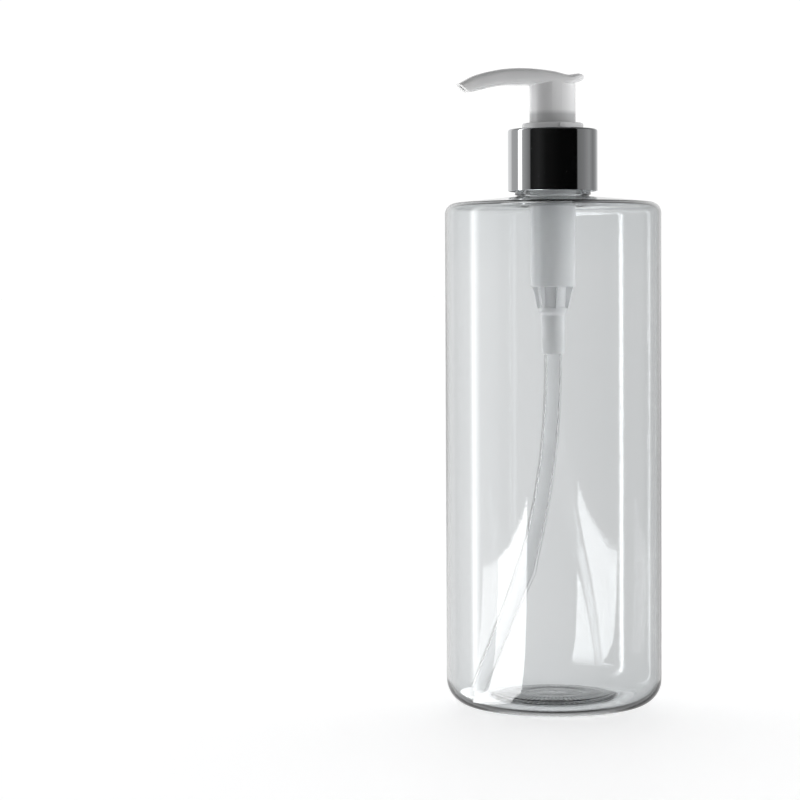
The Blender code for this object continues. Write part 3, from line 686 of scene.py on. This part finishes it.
def head_frames(count=70):
    """Sections along the head, eased between the stations, with a soft end at the thumb rest."""
    columns = list(zip(*HEAD_STATIONS))
    xs = columns[0]
    across_up = Matrix(((0, 0, 1, 0), (1, 0, 0, 0), (0, 1, 0, 0), (0, 0, 0, 1)))
    frames = []
    for i in range(count + 1):
        x = xs[0] + (xs[-1] - xs[0]) * i / count
        height, half_height, half_width, tilt = (eased(list(zip(xs, column)), x) for column in columns[1:])
        place = Matrix.Translation((x * MM, 0.0, head_foot + height * MM))
        lean = Matrix.Rotation(math.radians(-tilt), 4, "Y")
        size = Matrix.Diagonal((half_width * MM, half_height * MM, 1.0, 1.0))
        frames.append(place @ lean @ across_up @ size)
    for share in (0.35, 0.65, 0.88, 0.97):
        reach = Matrix.Translation((0.0, 0.0, 0.45 * MM * share))
        shrink = math.sqrt(1 - share ** 2)
        frames.append(frames[count] @ reach @ Matrix.Diagonal((0.55 + 0.45 * shrink, shrink, 1.0, 1.0)))
    return frames


def outlet_frames():
    """The outlet channel: up from the stem socket and along the spout to its tip."""
    root_x, root_height = HEAD_STATIONS[SPOUT_ROOT][:2]
    route = [Vector((0.0, 0.0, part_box("stem")[1].z + FIT_GAP - 0.5 * MM))]
    route += [Vector((x * MM, 0.0, head_foot + share * root_height * MM))
              for x, share in ((-0.8, 0.5), (-3.2, 0.85), (root_x, 1.0))]
    route += [Vector((x * MM, 0.0, head_foot + z * MM))
              for x, z, *_ in reversed(HEAD_STATIONS[:TIP_STATIONS])]
    route.append(route[-1] + (route[-1] - route[-2]).normalized() * 3.2 * MM)
    frames = []
    for i, point in enumerate(route):
        ahead = route[min(i + 1, len(route) - 1)] - route[max(i - 1, 0)]
        lean = Vector((0.0, 0.0, 1.0)).rotation_difference(ahead).to_matrix().to_4x4()
        frames.append(Matrix.Translation(point) @ lean)
    return frames


def make_head():
    """Spout and thumb rest in one sweep, with the round skirt, its hollow and the outlet channel."""
    bm = bmesh.new()
    close_ends(bm, *swept(bm, head_section(), head_frames()))
    piece = finished("spout_head", bm, "head", "actuator", "white_pp", "spout_pp", HEAD_SHARP)
    foot = skirt_foot
    skirt_top = head_foot + 1.3 * MM
    skirt = rounded([(0.0, skirt_top), (SKIRT_RADIUS, skirt_top), (SKIRT_RADIUS, foot), (0.0, foot)],
                    [0, 0, 0.22 * MM, 0])
    carve(piece, solid("skirt", spun(skirt, ROUND_STEPS)), "UNION")
    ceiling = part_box("stem")[1].z + FIT_GAP
    boss_foot = foot + 6.0 * MM
    hollow_top = ceiling - 1.1 * MM
    hollow = [(0.0, ceiling), (STEM_SOCKET, ceiling), (STEM_SOCKET, boss_foot), (SOCKET_OUTER, boss_foot),
              (SOCKET_OUTER, hollow_top), (SKIRT_BORE, hollow_top), (SKIRT_BORE, foot + 0.3 * MM),
              (SKIRT_BORE + 0.4 * MM, foot - 0.2 * MM), (0.0, foot - 0.2 * MM)]
    carve(piece, solid("hollow", spun(hollow, SMALL_STEPS)), "DIFFERENCE")
    channel = bmesh.new()
    close_ends(channel, *swept(channel, circle(CHANNEL_RADIUS, 32), outlet_frames()))
    carve(piece, solid("channel", channel), "DIFFERENCE")
    shaded(piece, HEAD_SHARP)
    return piece


def make_stem():
    low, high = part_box("stem")
    outline = [(STEM_BORE, high.z), (STEM_RADIUS, high.z), (STEM_RADIUS, low.z), (STEM_BORE, low.z)]
    bm = spun(rounded(outline, [0.2 * MM] * 4), SMALL_STEPS)
    return finished("hollow_stem", bm, "head", "stem", "natural_pp")


# ---------------------------------------------------------------- pump, inside the bottle

def make_housing():
    """Cylinder with its flange and cup, valve seat, finned cone and dip tube socket."""
    low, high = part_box("housing")
    top, foot = high.z, low.z
    cup_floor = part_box("chaplet")[0].z - FIT_GAP
    cup_foot = cup_floor - 2.0 * MM
    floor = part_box("spring")[0].z - FIT_GAP
    cylinder_foot = floor - 1.2 * MM
    cone_foot = cylinder_foot - 8.5 * MM
    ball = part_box("inlet_ball")
    seat = (ball[0].z + ball[1].z) / 2 + 1.2 * MM - math.sqrt(2) * 2.3 * MM
    outline = [(8.45, top), (11.4, top), (11.4, top - 0.9 * MM), (9.1, top - 0.9 * MM), (9.1, cup_foot),
               (7.3, cup_foot - 1.0 * MM), (7.0, cylinder_foot + 0.9 * MM), (7.0, cylinder_foot),
               (4.25, cylinder_foot), (4.05, cone_foot + 2.0 * MM), (4.45, cone_foot + 1.8 * MM),
               (4.45, cone_foot + 0.4 * MM), (3.7, cone_foot - 0.5 * MM), (3.5, foot), (3.1, foot),
               (3.1, cone_foot - 0.6 * MM), (1.2, cone_foot - 0.6 * MM), (1.2, seat), (2.5, seat + 1.3 * MM),
               (2.5, cylinder_foot), (1.7, cylinder_foot), (1.7, floor), (5.9, floor),
               (5.9, cup_floor - 1.2 * MM), (6.6, cup_floor - 1.2 * MM), (6.6, cup_floor), (8.45, cup_floor)]
    radii = [0.1, 0.2, 0.2, 0.2, 0.5, 0.3, 0, 0.25, 0.3, 0.1, 0.2, 0.2, 0.2, 0.12, 0.1] + [0] * 12
    points = rounded([(r * MM, z) for r, z in outline], [r * MM for r in radii], 4)
    piece = finished("pump_housing", spun(points, SMALL_STEPS), "pump_core", "housing", "natural_pp")
    fins = bmesh.new()
    rib = [(3.4 * MM, cylinder_foot + 0.6 * MM), (6.6 * MM, cylinder_foot + 0.6 * MM),
           (6.6 * MM, cylinder_foot), (4.9 * MM, cone_foot + 1.6 * MM), (3.4 * MM, cone_foot + 1.6 * MM)]
    stand = Matrix.Rotation(math.radians(90), 4, "X")
    for i in range(FIN_COUNT):
        turn = Matrix.Rotation(math.tau * (i + 0.5) / FIN_COUNT, 4, "Z")
        sides = [turn @ Matrix.Translation((0.0, side * FIN_THICKNESS / 2, 0.0)) @ stand for side in (-1, 1)]
        close_ends(fins, *swept(fins, rib, sides))
    carve(piece, solid("fins", fins), "UNION")
    vent = bmesh.new()
    place = Matrix.Translation((6.6 * MM, 0.0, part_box("stem_seal")[0].z - 1.8 * MM))
    bmesh.ops.create_cone(vent, cap_ends=True, segments=24, radius1=VENT_RADIUS, radius2=VENT_RADIUS,
                          depth=2.8 * MM, matrix=place @ Matrix.Rotation(math.radians(90), 4, "Y"))
    carve(piece, solid("vent", vent), "DIFFERENCE")
    shaded(piece)
    return piece


TUBE_HEADING = 166.0
TUBE_RADIUS = 2.8 * MM
TUBE_WALL = 0.8 * MM
TUBE_SIDES = 40
CREASE_HEIGHT = 42.0 * MM
CREASE_OFFSET = 9.0 * MM
CREASE_SPREAD = 5.0 * MM
CREASE_WIDENS = 0.26
CREASE_FLATTENS = 0.62
CURL = 2.15
FOOT_OFFSET = 24.0 * MM
FOOT_HEIGHT = 4.0 * MM
TUBE_ROWS = 230


def tube_offset(height):
    """How far the dip tube's centre line is from the axis at a height: a curl, then a straight leg."""
    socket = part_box("housing")[0].z
    if height >= socket:
        return 0.0
    if height >= CREASE_HEIGHT:
        return CREASE_OFFSET * ((socket - height) / (socket - CREASE_HEIGHT)) ** CURL
    share = (CREASE_HEIGHT - height) / (CREASE_HEIGHT - FOOT_HEIGHT)
    return CREASE_OFFSET + (FOOT_OFFSET - CREASE_OFFSET) * share


def make_dip_tube():
    """Soft tube that was once folded: it is flat and wide at the crease and round again further on."""
    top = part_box("dip_tube")[1].z
    step = 1.2 * MM
    heading = Matrix.Rotation(math.radians(TUBE_HEADING), 4, "Z")
    frames = []
    for i in range(TUBE_ROWS + 1):
        height = top + (FOOT_HEIGHT - top) * i / TUBE_ROWS
        lean = math.atan2(tube_offset(height - step) - tube_offset(height + step), 2 * step)
        flat = math.exp(-abs(height - CREASE_HEIGHT) / CREASE_SPREAD)
        place = Matrix.Translation((tube_offset(height), 0.0, height))
        size = Matrix.Diagonal((1 + CREASE_WIDENS * flat, 1 - CREASE_FLATTENS * flat, 1.0, 1.0))
        frames.append(heading @ place @ Matrix.Rotation(-lean, 4, "Y") @ size)
    bm = bmesh.new()
    bmesh.ops.create_circle(bm, cap_ends=True, segments=TUBE_SIDES, radius=TUBE_RADIUS, matrix=frames[0])
    bore = list(bm.faces)
    wall = bmesh.ops.inset_region(bm, faces=bore, thickness=TUBE_WALL, use_boundary=True,
                                  use_even_offset=True)["faces"]
    bmesh.ops.delete(bm, geom=bore, context="FACES")
    top_face = set(wall)
    for before, after in zip(frames, frames[1:]):
        out = bmesh.ops.extrude_face_region(bm, geom=wall)["geom"]
        bmesh.ops.delete(bm, geom=[face for face in wall if face not in top_face], context="FACES_ONLY")
        moved = [item for item in out if isinstance(item, bmesh.types.BMVert)]
        wall = [item for item in out if isinstance(item, bmesh.types.BMFace)]
        bmesh.ops.transform(bm, verts=moved, matrix=after @ before.inverted())
    return finished("dip_tube_bent", bm, "pump_core", "dip_tube", "frosted_pe")


def make_spring():
    """Return spring with closed end coils."""
    low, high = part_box("spring")
    wire = 0.45 * MM
    mean = high.x - wire
    coils, closed, rise = 6.5, 0.75, 0.97 * MM
    travel = high.z - low.z - 2 * wire - 2 * closed * rise
    frames = []
    steps = 312
    for i in range(steps + 1):
        turn = coils * i / steps
        lower = min(turn, closed) * rise
        upper = max(0.0, turn - coils + closed) * rise
        active = min(max(turn - closed, 0.0), coils - 2 * closed) * travel / (coils - 2 * closed)
        spin_round = Matrix.Rotation(math.tau * turn, 4, "Z")
        place = Matrix.Translation((mean, 0.0, low.z + wire + lower + upper + active))
        frames.append(spin_round @ place @ Matrix.Rotation(math.radians(90), 4, "X"))
    bm = bmesh.new()
    close_ends(bm, *swept(bm, circle(wire, 14), frames))
    piece = finished("return_spring", bm, "pump_core", "spring", "stainless_steel")
    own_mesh(piece)
    return piece


def finish_inner_nodes():
    """The sealed inner pieces keep their CAD shape and get a real finish."""
    for name, finish in (("gasket", "foam_pe"), ("stem_seal", "soft_pe"), ("piston", "soft_pe"),
                         ("piston_rod", "natural_pp"), ("inlet_ball", "stainless_steel")):
        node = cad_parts[name]
        for slot in node.material_slots:
            slot.material = FINISHES[finish]


# ---------------------------------------------------------------- stage

front = Vector((math.sin(math.radians(FRONT_HEADING)), -math.cos(math.radians(FRONT_HEADING)), 0.0))
left = Vector((front.y, -front.x, 0.0))


# Brightness of the studio round the bottle: degrees from the camera's side, positive to the right.
# Mirrored on the near wall, mirrored on the far wall, and falling on a dull face.
MIRRORED = ((-180, 0.95), (-158, 0.80), (-138, 0.72), (-133, 0.42), (-106, 0.40), (-102, 1.0),
            (-99, 3.4), (-95, 3.0), (-88, 0.40), (-64, 0.17), (-62, 0.010), (-40, 0.020), (-20, 0.004),
            (20, 0.0), (62, 0.0), (64, 0.17), (84, 0.22), (104, 0.33), (122, 0.22), (138, 0.34),
            (158, 0.70), (180, 0.95))
MIRRORED_FAR = ((-180, 0.80), (-146, 0.60), (-143, 5.0), (-140, 0.60), (-90, 0.35), (-88, 8.5),
                (-85, 8.5), (-82, 0.30), (-40, 0.05), (38, 0.05), (41, 1.4), (44, 0.05), (90, 0.25),
                (140, 0.6), (180, 0.8))
SOFTLY_LIT = ((-180, 1.4), (-140, 2.2), (-100, 2.9), (-82, 2.2), (-72, 0.12), (-5, 0.10), (12, 0.50),
              (34, 1.5), (90, 1.75), (130, 1.6), (180, 1.4))
BRIGHTEST = 9.0
CEILING = 0.03
OPEN_LEVEL = 1.04
WHITE = (1.0, 1.0, 1.0)

# Lit patch: its two sides, in degrees to the left of the camera's side, and how far it goes out
GLOW_SIDES = (31.0, 83.0)
GLOW_NEAR = 37 * MM
GLOW_REACH = 430 * MM
GLOW_DEPTH = 0.4 * MM
GLOW_LEVEL = 5.0
GLOW_LIMIT = 62.0    # past this angle only the far wall mirrors it

FLOOR_SIZE = 30.0
FLOOR_LEVEL = 0.52

CAMERA_LENS = 113.4
CAMERA_DISTANCE = 0.795
CAMERA_ASIDE = 0.0484
CAMERA_HEIGHT = 0.1324
CAMERA_PITCH = -2.59
CAMERA_ROLL = 0.30


def make_world():
    """White surround. Reflections and shaded faces see the studio's dark and bright sides instead."""
    world = bpy.data.worlds.new("studio")
    bpy.context.scene.world = world
    tree = Tree(world)
    toward = tree.place("Generated")
    ahead = tree.along(front, toward)
    side = tree.along(-left, toward)
    up = tree.coordinate("Z", toward)
    around = side.math("ARCTAN2", ahead) / math.tau + 0.5

    def studio(levels):
        stops = [(angle / 360 + 0.5, level / BRIGHTEST) for angle, level in levels]
        ramp = tree.node("ShaderNodeValToRGB", {"stops": stops}, {"Fac": around}, output="Color")
        return tree.node("ShaderNodeRGBToBW", None, {"Color": ramp}) * BRIGHTEST

    def blend(share, first, second):
        return first + share * (second - first)

    through = tree.depth("Transmission")
    wall = (1.35 - up.math("ABSOLUTE") * 1.7).clamped()
    far_wall = tree.depth("Transmission", spare=2)
    mirrored = blend(wall, CEILING, blend(far_wall, studio(MIRRORED), studio(MIRRORED_FAR)))
    ceiling = ((up - 0.12) * 2.4).clamped()
    overhead = CEILING - 1.6 * ahead.math("MINIMUM", 0.0)
    lit = blend(ceiling, studio(SOFTLY_LIT), overhead) * (1 + through * 0.7)
    behind = ((-0.30 - ahead) * 1.9).clamped()
    backdrop = (1.05 - side * 2.0).math("MINIMUM", OPEN_LEVEL).math("MAXIMUM", 0.82)
    level = blend(through, OPEN_LEVEL, blend(behind, 0.70 + side * 0.26, backdrop))
    level = blend(tree.depth("Glossy"), level, mirrored)
    level = blend(tree.depth("Diffuse"), level, lit)
    light = tree.node("ShaderNodeBackground", None, {"Color": level, "Strength": 1.0})
    tree.node("ShaderNodeOutputWorld", None, {"Surface": light})


def make_floor_glow():
    """A lit patch just under the floor, front left, that shows as bright windows in the bottle's wall."""
    one, two = (front * math.cos(turn) + left * math.sin(turn) for turn in map(math.radians, GLOW_SIDES))
    corners = [one * GLOW_NEAR, one * (GLOW_REACH / one.dot(left)), two * (GLOW_REACH / two.dot(left)),
               two * GLOW_NEAR]
    bm = bmesh.new()
    verts = [bm.verts.new(corner - Vector((0.0, 0.0, GLOW_DEPTH))) for corner in corners]
    bmesh.ops.contextual_create(bm, geom=verts)
    patch = solid("floor_glow", bm)
    made = bpy.data.materials.new("floor_glow")
    tree = Tree(made)
    ahead = tree.along(front)
    slope = tree.along(left) / ahead
    narrow = slope.math("LESS_THAN", math.tan(math.radians(GLOW_LIMIT))) * ahead.math("GREATER_THAN", 0.0)
    seen = (tree.depth("Transmission") + narrow).clamped() * (1 - tree.depth("Diffuse"))
    glow = tree.node("ShaderNodeEmission", None, {"Color": (*WHITE, 1.0), "Strength": GLOW_LEVEL})
    clear = tree.node("ShaderNodeBsdfTransparent")
    both = tree.node("ShaderNodeMixShader", None, {0: seen, 1: clear, 2: glow})
    tree.node("ShaderNodeOutputMaterial", None, {"Surface": both})
    patch.data.materials.append(made)
    made.cycles.emission_sampling = "NONE"
    patch.visible_camera = False
    patch.visible_diffuse = False
    patch.visible_shadow = False


def make_floor():
    """Pale floor that the camera sees, glowing less in a painted shadow disc under the bottle. What the bottle
    mirrors or lets through is the studio round it.
    """
    bm = bmesh.new()
    bmesh.ops.create_grid(bm, x_segments=1, y_segments=1, size=FLOOR_SIZE)
    floor = solid("floor", bm)
    made = bpy.data.materials.new("pale_floor")
    tree = Tree(made)
    speck = tree.noise(40.0, 3.0)
    from_axis = tree.node("ShaderNodeVectorMath", {"operation": "LENGTH"}, {0: tree.place()}, output="Value")
    open_floor = ((from_axis - 20 * MM) / (9 * MM)).clamped()
    shader = tree.node("ShaderNodeBsdfPrincipled", None, {
        "Base Color": tree.mixed(speck, (0.93, 0.93, 0.935), (0.91, 0.91, 0.915)),
        "Roughness": 0.6,
        "Specular IOR Level": 0.2,
        # Painted shadow: within about 20 to 29 mm of the axis, under the bottle's foot, the floor's glow drops
        # to 0.30 of its level.
        "Emission Color": tree.mixed(open_floor, (0.30, 0.30, 0.30), WHITE),
        "Emission Strength": FLOOR_LEVEL,
    })
    clear = tree.node("ShaderNodeBsdfTransparent")
    beyond = (tree.depth("Transmission") + tree.depth("Glossy")).clamped() * open_floor
    both = tree.node("ShaderNodeMixShader", None, {0: beyond, 1: shader, 2: clear})
    tree.node("ShaderNodeOutputMaterial", None, {"Surface": both})
    floor.data.materials.append(made)
    floor.visible_diffuse = False


def make_camera():
    data = bpy.data.cameras.new("camera")
    data.lens = CAMERA_LENS
    data.sensor_width = 36.0
    camera = bpy.data.objects.new("camera", data)
    bpy.context.scene.collection.objects.link(camera)
    camera.location = front * CAMERA_DISTANCE + left * CAMERA_ASIDE + Vector((0.0, 0.0, CAMERA_HEIGHT))
    pitch = math.radians(CAMERA_PITCH)
    aim = -front * math.cos(pitch) + Vector((0.0, 0.0, math.sin(pitch)))
    roll = Matrix.Rotation(math.radians(CAMERA_ROLL), 3, aim)
    camera.rotation_euler = (roll @ aim.to_track_quat("-Z", "Y").to_matrix()).to_euler()
    bpy.context.scene.camera = camera


def make_stage():
    make_world()
    make_floor()
    make_floor_glow()
    make_camera()
    bpy.context.scene.view_settings.view_transform = "Standard"


make_bottle()
make_collar_shell()
make_closure()
make_chaplet()
make_head()
make_stem()
make_housing()
make_dip_tube()
make_spring()
finish_inner_nodes()
make_stage()
